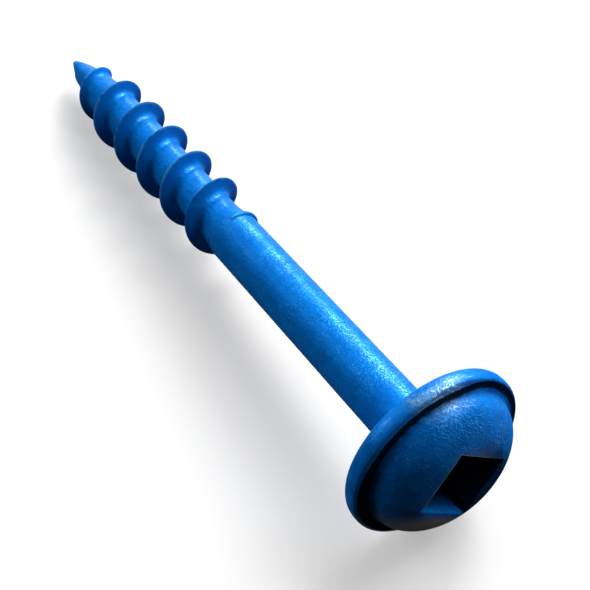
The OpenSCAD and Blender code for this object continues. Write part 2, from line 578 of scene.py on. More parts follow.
class WindingTree:
    """Geometry Nodes tree that winds the threaded surface and joins it to the shank."""

    def __init__(self, sizes: Mapping[str, float], lip_shade: LipShade,
                 finish: bpy.types.Material) -> None:
        """Builds the tree.

        Args:
            sizes: Named inputs and their values.
            lip_shade: Line of painted shade beside the run-out's lip, which the tree marks.
            finish: Material that the tree sets.
        """
        self.tree = bpy.data.node_groups.new("thread_winding", "GeometryNodeTree")
        self.graph = Graph(self.tree)
        self.lip_shade = lip_shade
        for direction in ("INPUT", "OUTPUT"):
            self.tree.interface.new_socket("Geometry", in_out=direction,
                                           socket_type="NodeSocketGeometry")
        self.keys: dict[str, str] = {}
        for name, size in sizes.items():
            kind = "NodeSocketInt" if isinstance(size, int) else "NodeSocketFloat"
            item = self.tree.interface.new_socket(name, in_out="INPUT", socket_type=kind)
            self.keys[name] = item.identifier
        self.source = self.graph.add("NodeGroupInput")
        self._finish(self._wind(), finish)

    def size(self, name: str) -> Value:
        """Returns a named input as a value."""
        return Value(self.graph, self.source.outputs[name])

    def _section(self, offset: Value, spread: Value) -> Value:
        """Share of the thread's depth at an offset along the axis from the crest.

        Args:
            offset: Distance from the crest's centre line, towards the head if positive.
            spread: How many times as wide the thread is there.

        Returns:
            1 on the crest and 0 at the root.
        """
        to_head = offset.above(0.0)
        to_tip = 1.0 - to_head
        run = to_head * self.size("Head Flank") + to_tip * self.size("Tip Flank")
        hollow = to_head * self.size("Head Hollow") + to_tip * self.size("Tip Hollow")
        past = (abs(offset) - self.size("Crest Width") / 2.0).most(0.0) / (run * spread)
        return (1.0 - past).most(0.0) ** hollow

    def _radius(self, height: Value, offset: Value, turns: Value) -> tuple[Value, Value]:
        """Radius of the surface and the thread's share of it.

        Args:
            height: Height along the axis, below the head.
            offset: Distance from the nearest crest.
            turns: Turns wound since the thread's start.

        Returns:
            The radius, and how far the point is up the thread.
        """
        shank_r, core_r = self.size("Shank Radius"), self.size("Core Radius")
        tip_r, sink = self.size("Tip Radius"), self.size("Crest Sink")
        below = 0.0 - self.size("Shank Length") - height
        from_tip = height + self.size("Screw Length")
        along = (from_tip / self.size("Point Length")).share()
        rising = (below / self.size("Run-out Length")).share()
        core = tip_r + (core_r - tip_r) * (1.0 - (1.0 - along) ** self.size("Core Power"))
        risen = 1.0 - (1.0 - rising) ** self.size("Run-out Power")
        crest = shank_r - sink + (self.size("Outer Radius") - shank_r + sink) * risen
        crest = crest * (1.0 - (1.0 - along) ** self.size("Crest Power"))
        faded = along / self.size("Tip Fade")
        started = ((turns + self.size("Fade From")) / self.size("Fade Run")).share()
        depth = (crest - core).most(0.0) * faded.least(1.0) * below.above(0.0) * started
        up = self._section(offset, 1.0 + self.size("Tip Spread") * (1.0 - faded).most(0.0))
        blended = (below / self.size("Blend Run")).most(0.0)
        cone = shank_r - (shank_r - core_r * self.size("Cone Share")) * blended
        radius = self.graph.math("SMOOTH_MAX", cone, core + depth * up,
                                 self.size("Valley Rounding"))
        closing = 1.0 - (1.0 - (from_tip / self.size("Tip Closing")).share()) ** 2.0
        return radius * closing.root(), up * rising

    def _crowded(self, height: Value) -> Value:
        """Crowds the rows near the tip, where the screw ends.

        Args:
            height: Height of a row that the thread alone gives.

        Returns:
            The height, which never passes the tip.
        """
        crowd, length = self.size("Crowd Length"), self.size("Screw Length")
        crowded = crowd * self.graph.math("EXPONENT", (height + length - crowd) / crowd)
        near_tip = (crowd - length).above(height)
        from_tip = near_tip * crowded + (1.0 - near_tip) * (height + length)
        return from_tip * from_tip.above(self.size("Tip Snap")) - length

    def _wind(self) -> bpy.types.NodeSocket:
        """Winds a grid of points about the axis, and marks each crest and the line of painted
        shade.

        Returns:
            The threaded surface.
        """
        rows, steps = self.size("Rows per Turn") * self.size("Turns"), self.size("Steps")
        grid = self.graph.add("GeometryNodeMeshGrid", None, {
            "Size X": rows, "Size Y": steps, "Vertices X": rows + 1.0, "Vertices Y": steps + 1.0})
        place = self.graph.split(self.graph.add("GeometryNodeInputPosition").outputs[0])
        row = self.graph.math("ROUND", place[0] + rows / 2.0)
        step = self.graph.math("ROUND", place[1] + steps / 2.0)
        turn = self.graph.math("FLOOR", (row + 0.5) / self.size("Rows per Turn"))
        within = 1.0 - 2.0 * (row / self.size("Rows per Turn") - turn)
        pitch = self.size("Pitch")
        offset = self.graph.math("SIGN", within) * abs(within) ** self.size("Row Crowding")
        offset = offset * pitch / 2.0
        degrees = self.size("First Angle") + step * 360.0 / steps
        turns = turn - 1.0 + (self.size("Thread Turn") - degrees) / 360.0
        bent = (1.0 - turns / self.size("Bend Turns")).share() ** self.size("Bend Power")
        line = self.size("Start Bend") * (1.0 - bent) - self.size("Shank Length") - pitch * turns
        height = self._crowded((line + offset).least(self.size("Seam Height")))
        radius, up = self._radius(height, offset, turns)
        angle = self.graph.math("RADIANS", degrees)
        point = self.graph.join(radius * self.graph.math("COSINE", angle),
                                radius * self.graph.math("SINE", angle), height)
        surface = self._stored(grid.outputs[0], Mark.CREST, up)
        surface = self._stored(surface, Mark.LIP_SHADE, self.lip_shade.share(offset, turns))
        return self.graph.add("GeometryNodeSetPosition", None,
                              {"Geometry": surface, "Position": point}).outputs[0]

    def _stored(self, surface: bpy.types.NodeSocket, mark: Mark,
                share: Value) -> bpy.types.NodeSocket:
        """Stores one of the mesh's own marks, before the points move."""
        return self.graph.add("GeometryNodeStoreNamedAttribute",
                              {"data_type": "FLOAT", "domain": "POINT"},
                              {"Geometry": surface, "Name": mark.value, "Value": share}).outputs[0]

    def _finish(self, surface: bpy.types.NodeSocket, finish: bpy.types.Material) -> None:
        """Joins the threaded surface to the shank and sets its material.

        Args:
            surface: The threaded surface.
            finish: Material of the whole screw.
        """
        add = self.graph.add
        joined = add("GeometryNodeJoinGeometry")
        self.tree.links.new(self.source.outputs["Geometry"], joined.inputs[0])
        self.tree.links.new(surface, joined.inputs[0])
        merged = add("GeometryNodeMergeByDistance", None,
                     {"Geometry": joined.outputs[0], "Distance": self.size("Merge Distance")})
        real = add("GeometryNodeRealizeInstances", None, {"Geometry": merged.outputs[0]})
        dressed = add("GeometryNodeSetMaterial", None,
                      {"Geometry": real.outputs[0], "Material": finish})
        add("NodeGroupOutput", None, {"Geometry": dressed.outputs[0]})

    def put_on(self, piece: bpy.types.Object, sizes: Mapping[str, float]) -> None:
        """Gives an object the tree as a modifier.

        Args:
            piece: Object with the head and the shank in its mesh.
            sizes: Named inputs and their values.
        """
        winding = piece.modifiers.new("winding", "NODES")
        winding.node_group = self.tree
        for name, key in self.keys.items():
            winding[key] = sizes[name]


@dataclass
class Notch:
    """Cutting notch in the point, in millimetres."""

    length: float = 6.0
    web: float = 0.22
    turn: float = 33.0
    block_reach: float = 3.0

    def block(self, screw_len: float, thread_r: float) -> bpy.types.Object:
        """Makes the block that cuts the notch.

        Args:
            screw_len: Length from the bearing face to the tip.
            thread_r: Outer radius of the thread.

        Returns:
            The block, which is removed once the cut is made.
        """
        mesh = bpy.data.meshes.new("notch_block")
        shape = bmesh.new()
        bmesh.ops.create_cube(shape, size=1.0)
        wide, tall = self.block_reach * thread_r, self.block_reach * self.length
        lean = math.atan((thread_r - self.web) / self.length)
        place = (Matrix.Rotation(math.radians(self.turn), 4, "Z")
                 @ Matrix.Translation((self.web, self.web / 2, -screw_len))
                 @ Matrix.Rotation(lean, 4, "Y")
                 @ Matrix.Translation((wide / 2, wide / 2, tall / 2 - self.length))
                 @ Matrix.Diagonal((wide, wide, tall, 1)))
        bmesh.ops.transform(shape, matrix=place, verts=shape.verts)
        shape.to_mesh(mesh)
        shape.free()
        block = bpy.data.objects.new("notch_block", mesh)
        bpy.context.scene.collection.objects.link(block)
        return block


@dataclass(frozen=True)
class Spot:
    """Round patch on the screw, full near its middle and gone at its reach, in millimetres."""

    place: Place
    reach: float
    full: float = 0.25


@dataclass(frozen=True)
class Facing:
    """Side of the screw that faces a direction, with the cosines at which it starts and is full."""

    degrees: float
    cosines: Stops


@dataclass(frozen=True)
class Patches:
    """Uneven patches: a noise, with the values at which they start and are full."""

    scale: float
    detail: float
    stops: Stops


@dataclass(frozen=True)
class Shares:
    """One share for each zone of the screw."""

    rim: float
    dome: float
    shank: float
    thread: float


class Skin:
    """The screw's surface as a material reads it, in millimetres with the axis along Z."""

    HEAD: Stops = (-0.05, 0.1)
    DOME: Stops = (0.9, 1.1)
    THREAD: Stops = (-17.5, -19.0)

    def __init__(self, graph: Graph, head: Head, tilt: float) -> None:
        """Finds the place on the screw and the zone that it is in.

        Args:
            graph: The material's graph.
            head: The head, for the sizes that the finish keeps to.
            tilt: Angle in degrees by which the screw's axis leans on the floor.
        """
        self.graph = graph
        self.head = head
        spot = graph.add("ShaderNodeTexCoord").outputs["Object"]
        self.own = graph.add("ShaderNodeMapping", None, {
            "Vector": spot, "Scale": (1 / MM,) * 3,
            "Rotation": (0.0, math.radians(tilt - 90), 0.0)}).outputs[0]
        self.x, self.y, self.z = graph.split(self.own)
        self.radius = (self.x * self.x + self.y * self.y).root()
        on_head = self.z.ramp(*self.HEAD)
        self.dome = self.z.ramp(*self.DOME)
        self.rim = on_head - self.dome
        self.thread = self.z.ramp(*self.THREAD)
        self.shank = (1.0 - on_head) * (1.0 - self.thread)

    def by_zone(self, shares: Shares) -> Value:
        """Returns the share of the zone, which changes softly from one zone to the next."""
        head = self.rim * shares.rim + self.dome * shares.dome
        return head + self.shank * shares.shank + self.thread * shares.thread

    def noise(self, scale: float, detail: float = 2.0,
              at: bpy.types.NodeSocket | None = None) -> Value:
        """Adds a noise.

        Args:
            scale: Its scale per millimetre.
            detail: How many finer noises lie on it.
            at: Place that it is read at, or nothing for the place on the screw.

        Returns:
            The noise, from 0 to 1.
        """
        node = self.graph.add("ShaderNodeTexNoise", None, {
            "Vector": self.own if at is None else at, "Scale": scale, "Detail": detail})
        return Value(self.graph, node.outputs[0])

    def patches(self, kind: Patches, at: bpy.types.NodeSocket | None = None) -> Value:
        """Returns 1 in the patches and 0 between them."""
        return self.noise(kind.scale, kind.detail, at).ramp(*kind.stops)

    def near(self, spot: Spot) -> Value:
        """Returns 1 in the middle of a spot, falling softly to 0 at its reach."""
        node = self.graph.add("ShaderNodeVectorMath", {"operation": "DISTANCE"},
                              {0: self.own, 1: spot.place})
        return Value(self.graph, node.outputs["Value"]).ramp(spot.reach, spot.reach * spot.full)

    def out(self, degrees: float) -> Value:
        """Distance from the axis in a direction about it."""
        turn = math.radians(degrees)
        return self.x * math.cos(turn) + self.y * math.sin(turn)

    def facing(self, side: Facing) -> Value:
        """Returns 1 on the side that faces a direction and 0 away from it."""
        return (self.out(side.degrees) / self.radius).ramp(*side.cosines)

    def mark(self, mark: Mark) -> Value:
        """Reads one of the mesh's own marks."""
        node = self.graph.add("ShaderNodeAttribute", {"attribute_name": mark.value})
        return Value(self.graph, node.outputs["Fac"])


@dataclass(frozen=True)
class Specks:
    """Fine bright specks and scratches, round the rim and every way elsewhere, partly painted
    glints.
    """

    head: Stops = (-0.3, 0.1)
    dome: Stops = (0.9, 1.3)
    plain: Stops = (-18.5, -16.0)
    ring_scale: Place = (9.0, 13.0, 13.0)
    ring: Patches = Patches(1.0, 2.0, (0.56, 0.67))
    stroke_size: Place = (0.080, 0.080, 0.22)
    stroke_turns: tuple[Stops, ...] = ((2.1, 1.35), (2.55, 1.1), (1.0, 0.8))
    stroke_scale: float = 1.0
    stroke_detail: float = 1.0
    stroke_stops: Stops = (0.59, 0.71)
    dome_coarser: float = 0.25
    dome_thinner: float = 0.1
    # Painted glints: the specks lie closer in the dome's highlight, in the shank's highlight band
    # and on the rim's lit edge.
    lit: Spot = Spot((-3.3, 0.7, 1.5), 1.7)
    lit_more: float = 0.035
    band: Facing = Facing(168.0, (0.90, 0.985))
    band_end: Stops = (-18.0, -17.0)
    band_more: float = 0.055
    glint_edge: Spot = Spot((-4.3, 0.1, 0.7), 1.6)
    gathered: Patches = Patches(0.9, 2.0, (0.40, 0.60))
    gathered_low: float = 0.35
    thread_low: float = 0.35

    def strokes(self, skin: Skin, more: Value, dome: Value) -> Value:
        """Short scratches that cross each other.

        Args:
            skin: The screw's surface.
            more: What is added to the noise where the scratches lie closer.
            dome: Share of the dome, on which they are coarser.

        Returns:
            1 on a scratch and 0 beside it.
        """
        scaled = skin.graph.add("ShaderNodeVectorMath", {"operation": "SCALE"}, {
            0: skin.own, "Scale": 1.0 - dome * self.dome_coarser}).outputs[0]
        crossed = []
        for turn, lean in self.stroke_turns:
            laid = skin.graph.add("ShaderNodeMapping", {"vector_type": "TEXTURE"}, {
                "Vector": scaled, "Scale": self.stroke_size,
                "Rotation": (lean, 0.0, turn)}).outputs[0]
            noise = skin.noise(self.stroke_scale, self.stroke_detail, laid)
            crossed.append((noise + more).ramp(*self.stroke_stops))
        return crossed[0].most(crossed[1]).most(crossed[2])

    def share(self, skin: Skin) -> Value:
        """Share of the specks.

        Args:
            skin: The screw's surface.

        Returns:
            1 on a speck and 0 beside it.
        """
        head, dome = skin.z.ramp(*self.head), skin.z.ramp(*self.dome)
        angle = skin.graph.math("ARCTAN2", 0.0 - skin.y, 0.0 - skin.x)
        ring = skin.graph.join(*(number * scale for number, scale in
                                 zip((angle, skin.radius, skin.z), self.ring_scale)))
        round_rim = skin.patches(self.ring, ring) * head * (1.0 - dome)
        lit, glint_edge = skin.near(self.lit), skin.near(self.glint_edge)
        band = skin.facing(self.band) * (1.0 - head) * skin.z.ramp(*self.band_end)
        crossed = self.strokes(skin, lit * self.lit_more + band * self.band_more, dome)
        crossed = crossed * (1.0 - head).most(dome).most(glint_edge)
        crossed = crossed * skin.z.ramp(*self.plain).lift(self.thread_low)
        gathered = skin.patches(self.gathered).lift(self.gathered_low)
        gathered = gathered * (1.0 - dome * self.dome_thinner)
        return round_rim.most(crossed) * gathered.most(glint_edge).most(lit)


@dataclass(frozen=True)
class CreaseShade:
    """Painted shade in the crease round the dome and on the narrow face beside it."""

    ragged: float = 0.12
    ragged_scale: float = 2.6
    outer_ragged: float = 0.5
    far: Facing = Facing(118.0, (0.60, 0.97))
    far_shift: float = 0.20
    # On the lower side the painted shade fades softly further into the dome.
    low: Facing = Facing(285.0, (0.55, 0.95))
    low_shift: float = 0.16
    crisp: Stops = (-0.02, 0.12)
    soft: Stops = (-0.30, 0.12)
    outer: Stops = (0.40, 0.34)
    height: Stops = (0.7, 0.8)
    strength: float = 0.95

    def share(self, skin: Skin) -> Value:
        """Share of the painted shade.

        Args:
            skin: The screw's surface.

        Returns:
            The share.
        """
        beyond = skin.radius - skin.head.crease_r
        ragged = (skin.noise(self.ragged_scale) - NOISE_MEAN) * self.ragged
        far, low = skin.facing(self.far) * self.far_shift, skin.facing(self.low)
        crisp = (beyond + ragged - far).ramp(*self.crisp)
        soft = (beyond + ragged).ramp(*self.soft) ** 2.0
        inner = crisp * (1.0 - low) + soft * low
        outer = beyond + ragged * self.outer_ragged - far - low * self.low_shift
        return inner * outer.ramp(*self.outer) * skin.z.ramp(*self.height) * self.strength


@dataclass(frozen=True)
class RecessShade:
    """Painted shade in the recess, full except on the lit part of the wall that faces up, and on a
    strip of the dome beside one edge.
    """

    within: Stops = (1.60, 1.56)
    height: Stops = (0.2, 0.3)
    # side to mouth_dim: the painted shadow on the wall that faces up, darker away from the mouth.
    side: Stops = (1.42, 1.54)
    side_top: float = 2.4
    side_lean: float = 0.6
    floor: Stops = (1.55, 1.40)
    mouth: Stops = (2.45, 2.05)
    mouth_dim: float = 0.5
    lit_wall: Stops = (-1.30, -1.20)
    # Strip of painted shade on the dome beside one edge of the recess.
    lip: Stops = (1.48, 1.62)
    lip_ends: Stops = (1.9, 1.3)
    lip_height: Stops = (1.0, 1.5)
    lip_dim: float = 0.75
    strength: float = 0.90

    def share(self, skin: Skin) -> Value:
        """Share of the dark.

        Args:
            skin: The screw's surface.

        Returns:
            The share.
        """
        across, along = skin.out(skin.head.drive_turn), skin.out(skin.head.drive_turn + 90)
        within = abs(across).most(abs(along)).ramp(*self.within) * skin.z.ramp(*self.height)
        side = across + (self.side_top - skin.z).most(0.0) * self.side_lean
        shaded = side.ramp(*self.side).most(skin.z.ramp(*self.floor))
        shaded = shaded.most(skin.z.ramp(*self.mouth) * self.mouth_dim)
        lip = across.ramp(*self.lip) * abs(along).ramp(*self.lip_ends)
        lip = lip * skin.z.ramp(*self.lip_height) * self.lip_dim
        return lip.most(within * along.ramp(*self.lit_wall).most(shaded)) * self.strength


@dataclass(frozen=True)
class Sheen:
    """Painted sheen on the sides that face up, laid on the screw itself, and how strong it is."""

    rim: Facing = Facing(186.0, (0.64, 0.95))
    dome: Facing = Facing(166.0, (0.62, 0.96))
    dome_share: float = 0.6
    shank: Facing = Facing(166.0, (0.60, 0.96))
    thread: Facing = Facing(142.0, (0.30, 0.88))
    crest: Stops = (0.06, 0.22)
    crest_dull: float = 0.85
    lip_shade_dull: float = 0.9
    gloss: float = 0.14
    gloss_zones: Shares = Shares(rim=0.35, dome=0.65, shank=0.35, thread=0.85)
    speck_zones: Shares = Shares(rim=0.60, dome=0.30, shank=0.28, thread=0.90)
    metal: float = 0.26
    metal_zones: Shares = Shares(rim=0.58, dome=0.40, shank=0.35, thread=0.70)
    base_metal: float = 0.03
    shank_speck_metal: float = 0.22
    # Painted highlight on the rim's upper edge: more coat and metal there.
    rim_highlight: Spot = Spot((-4.30, 0.0, 0.75), 1.8)
    rim_highlight_height: Stops = (0.30, 0.55)
    rim_highlight_low: float = 0.2
    rim_highlight_gloss: float = 0.35
    rim_highlight_metal: float = 0.30

    def bright(self, skin: Skin, clean: Value) -> Value:
        """Sides on which the sheen lies.

        Args:
            skin: The screw's surface.
            clean: Share that is free of the painted shade.

        Returns:
            1 in the middle of them and 0 away from them.
        """
        bright = skin.facing(self.thread) * skin.thread
        bright = bright + skin.facing(self.shank) * skin.shank
        bright = bright + skin.facing(self.rim) * skin.rim
        bright = bright + skin.facing(self.dome) * skin.dome * self.dome_share
        bright = bright * clean * (1.0 - skin.mark(Mark.CREST).ramp(*self.crest) * self.crest_dull)
        return bright * (1.0 - skin.mark(Mark.LIP_SHADE) * self.lip_shade_dull)

    def shares(self, skin: Skin, specks: Value, dark: Value) -> tuple[Value, Value]:
        """Shares of the clear coat and of the metal.

        Args:
            skin: The screw's surface.
            specks: Share of the bright specks.
            dark: Share of the painted shade in the crease and in the recess.

        Returns:
            The coat's share and the metal's.
        """
        # clean is the share free of the painted shade in the crease and the recess.
        clean = 1.0 - dark
        bright = self.bright(skin, clean)
        # Painted highlight on the rim's upper edge.
        rim_highlight = skin.near(self.rim_highlight) * skin.z.ramp(*self.rim_highlight_height) * clean
        rim_highlight = rim_highlight * specks.lift(self.rim_highlight_low)
        gloss = self.gloss * skin.by_zone(self.gloss_zones)
        coat = bright * (gloss + specks * skin.by_zone(self.speck_zones)) + rim_highlight * self.rim_highlight_gloss
        metal = self.base_metal * clean + self.metal * bright * skin.by_zone(self.metal_zones)
        metal = metal + rim_highlight * self.rim_highlight_metal
        return coat, metal + specks * bright * skin.shank * self.shank_speck_metal


@dataclass(frozen=True)
class Relief:
    """Roughness and fine relief of the coating."""

    plain: Stops = (-18.5, -15.5)
    grain_scale: float = 9.0
    grain_detail: float = 3.0
    grain: float = 0.08
    plain_grain: float = 0.22
    flank: Stops = (0.05, 0.30)
    peel_scale: float = 2.2
    peel: float = 0.8
    thread_peel: float = 0.9
    flank_calm: float = 1.5
    speck: float = 0.1
    head_speck: float = 0.35
    head: Stops = (0.0, 0.3)
    depth: float = 0.00005
    rough: float = 0.30
    grain_rough: float = 0.16
    speck_smooth: float = 0.05

    def mix(self, skin: Skin, specks: Value) -> tuple[Value, bpy.types.NodeSocket]:
        """Mixes the roughness and the relief.

        Args:
            skin: The screw's surface.
            specks: Share of the bright specks.

        Returns:
            The roughness, and the normal with the relief on it.
        """
        plain = skin.z.ramp(*self.plain)
        grain = skin.noise(self.grain_scale, self.grain_detail)
        calm = skin.mark(Mark.CREST).ramp(*self.flank) * self.flank_calm
        peel = skin.noise(self.peel_scale) * (1.0 + (1.0 - plain) * (self.thread_peel - calm))
        relief = peel * self.peel + grain * (self.grain + plain * self.plain_grain)
        relief = relief + specks * (self.speck + self.head_speck * skin.z.ramp(*self.head))
        bump = skin.graph.add("ShaderNodeBump", None, {
            "Height": relief, "Strength": 1.0, "Distance": self.depth})
        rough = self.rough + (grain - NOISE_MEAN) * self.grain_rough - specks * self.speck_smooth
        return rough, bump.outputs[0]


@dataclass(frozen=True)
class WearAndHighlights:
    """Painted highlights on rim and crest, smudges, a rub mark and dust, and where each lies."""

    # Painted highlight on the rim's upper edge, in a lighter colour.
    highlight_patch: Spot = Spot((-4.35, -0.1, 0.75), 1.6)
    highlight_patch_height: Stops = (0.30, 0.55)
    highlight_patch_low: float = 0.22
    # Painted highlight along the thread's crest, broken into dashes.
    crest: Stops = (0.82, 0.95)
    crest_gaps: Patches = Patches(2.2, 2.0, (0.34, 0.56))
    crest_end: Stops = (-36.3, -35.6)
    crest_share: float = 0.70
    smudge_spots: tuple[Spot, ...] = (
        Spot((-0.75, 1.72, 2.6), 0.5), Spot((-1.2, 1.2, 2.6), 0.4),
        Spot((0.28, -2.60, 2.40), 0.55), Spot((-0.35, -1.85, 2.55), 0.6))
    smudge_low: float = 0.5
    smudge_share: float = 0.5
    rub: Spot = Spot((-4.22, -1.20, 0.59), 0.62)
    rub_gaps: Patches = Patches(5.0, 3.0, (0.35, 0.65))
    rub_share: float = 0.5
    dust: Facing = Facing(322.0, (0.66, 0.96))
    dust_below: Stops = (-1.57, -2.27)
    dust_height: Stops = (0.7, 1.0)
    dust_share: float = 0.75
    corner: float = 185.3
    corner_reach: Stops = (-0.05, 0.25)
    mouth_low: float = 0.4
    mouth_share: float = 0.85

    def highlight_patches(self, skin: Skin, specks: Value) -> Value:
        """Share of the painted highlight on the rim's upper edge, broken up by the specks."""
        rim_highlight = skin.near(self.highlight_patch) * skin.z.ramp(*self.highlight_patch_height)
        return rim_highlight * specks.lift(self.highlight_patch_low)

    def crest_highlights(self, skin: Skin) -> Value:
        """Share of the broken painted highlight along the thread's crest."""
        line = skin.mark(Mark.CREST).ramp(*self.crest) * skin.patches(self.crest_gaps)
        return line * skin.z.ramp(*self.crest_end) * self.crest_share

    def smudges(self, skin: Skin, broken: Value) -> Value:
        """Share of the smudges by the recess.

        Args:
            skin: The screw's surface.
            broken: Patches that break the smudges up.

        Returns:
            The share.
        """
        smudge = skin.near(self.smudge_spots[0])
        for spot in self.smudge_spots[1:]:
            smudge = smudge.most(skin.near(spot))
        return smudge * broken.lift(self.smudge_low) * self.smudge_share

    def rubs(self, skin: Skin) -> Value:
        """Share of the rub mark on the rim."""
        return skin.near(self.rub) * skin.patches(self.rub_gaps) * self.rub_share

    def dusty(self, skin: Skin, dark: Value) -> Value:
        """Share of the dust on the lower side of the dome.

        Args:
            skin: The screw's surface.
            dark: Share of the painted shade in the crease and in the recess.

        Returns:
            The share.
        """
        below = skin.out(skin.head.drive_turn + 90).ramp(*self.dust_below)
        dusty = skin.facing(self.dust) * below * skin.z.ramp(*self.dust_height)
        return dusty * (1.0 - dark) * self.dust_share

    def mouth(self, skin: Skin, broken: Value) -> Value:
        """Share of the bare steel round the recess's mouth."""
        upper = skin.out(self.corner).ramp(*self.corner_reach)
        return skin.mark(Mark.MOUTH) * upper * broken.lift(self.mouth_low) * self.mouth_share


@dataclass(frozen=True)
class BlueCoating:
    """Satin blue coat on steel: specks, bare mouth edges, smudges, painted shade and highlights."""

    blue: Colour = (0.001, 0.170, 0.630)
    deep: Colour = (0.001, 0.105, 0.430)
    # Colour of the specks, which are partly painted glints.
    pale: Colour = (0.030, 0.370, 0.920)
    # Colour of the painted highlight on the rim's upper edge.
    rim_highlight: Colour = (0.220, 0.470, 0.720)
    # Colour of the painted highlight along the thread's crest.
    crest_highlight: Colour = (0.075, 0.350, 0.700)
    steel: Colour = (0.450, 0.450, 0.440)
    grime: Colour = (0.045, 0.043, 0.042)
    shade: Colour = (0.001, 0.006, 0.016)
    rub: Colour = (0.170, 0.310, 0.240)
    dust: Colour = (0.520, 0.440, 0.330)
    coat_rough: float = 0.22
    mottle: Patches = Patches(1.3, 4.0, (0.35, 0.65))
    mottle_share: float = 0.45
    mottle_more: float = 0.25
    mottle_head: Stops = (0.0, 0.5)
    speck_share: float = 0.33
    speck_less: float = 0.05
    speck_dome: Stops = (0.9, 1.3)
    # Share of the painted shade beside the run-out's lip.
    lip_shade_share: float = 0.75
    broken: Patches = Patches(1.4, 2.0, (0.35, 0.55))
    specks: Specks = Specks()
    crease_shade: CreaseShade = CreaseShade()
    recess_shade: RecessShade = RecessShade()
    sheen: Sheen = Sheen()
    relief: Relief = Relief()
    wear_and_highlights: WearAndHighlights = WearAndHighlights()

    def colour(self, skin: Skin, specks: Value, dark: Value) -> bpy.types.NodeSocket:
        """Lays the coating's colours over each other.

        Args:
            skin: The screw's surface.
            specks: Share of the bright specks.
            dark: Share of the painted shade in the crease and in the recess.

        Returns:
            The colour.
        """
        deeper = self.mottle_share + self.mottle_more * skin.z.ramp(*self.mottle_head)
        paler = self.speck_share - self.speck_less * skin.z.ramp(*self.speck_dome)
        broken = skin.patches(self.broken)
        layers = (
            (skin.patches(self.mottle) * deeper, self.deep),
            # Pale specks, partly painted glints.
            (specks * paler, self.pale),
            # Painted highlight on the rim's upper edge.
            (self.wear_and_highlights.highlight_patches(skin, specks), self.rim_highlight),
            # Painted shade in the crease and in the recess.
            (dark, self.shade),
            # Painted highlight along the thread's crest.
            (self.wear_and_highlights.crest_highlights(skin), self.crest_highlight),
            # Painted shade beside the run-out's lip.
            (skin.mark(Mark.LIP_SHADE) * self.lip_shade_share, self.shade),
            (self.wear_and_highlights.smudges(skin, broken), self.grime),
            (self.wear_and_highlights.rubs(skin), self.rub),
            (self.wear_and_highlights.dusty(skin, dark), self.dust),
            (self.wear_and_highlights.mouth(skin, broken), self.steel),
        )
        colour: Paint = self.blue
        for share, paint in layers:
            colour = skin.graph.mix(share, colour, paint)
        return colour

    def material(self, head: Head, tilt: float) -> bpy.types.Material:
        """Builds the material.

        Args:
            head: The head, for the sizes that the finish keeps to.
            tilt: Angle in degrees by which the screw's axis leans on the floor.

        Returns:
            The finished material.
        """
        material, graph = blank_material(Zone.COATING.value)
        skin = Skin(graph, head, tilt)
        specks = self.specks.share(skin)
        # Painted shade in the crease round the dome and in the recess.
        dark = self.crease_shade.share(skin).most(self.recess_shade.share(skin))
        rough, bump = self.relief.mix(skin, specks)
        coat, metal = self.sheen.shares(skin, specks, dark)
        shader = graph.add("ShaderNodeBsdfPrincipled", None, {
            "Base Color": self.colour(skin, specks, dark), "Roughness": rough, "Normal": bump,
            "Metallic": metal, "Coat Weight": coat, "Coat Roughness": self.coat_rough,
            "Specular IOR Level": 0.0})
        graph.add("ShaderNodeOutputMaterial", None, {"Surface": shader.outputs[0]})
        return material


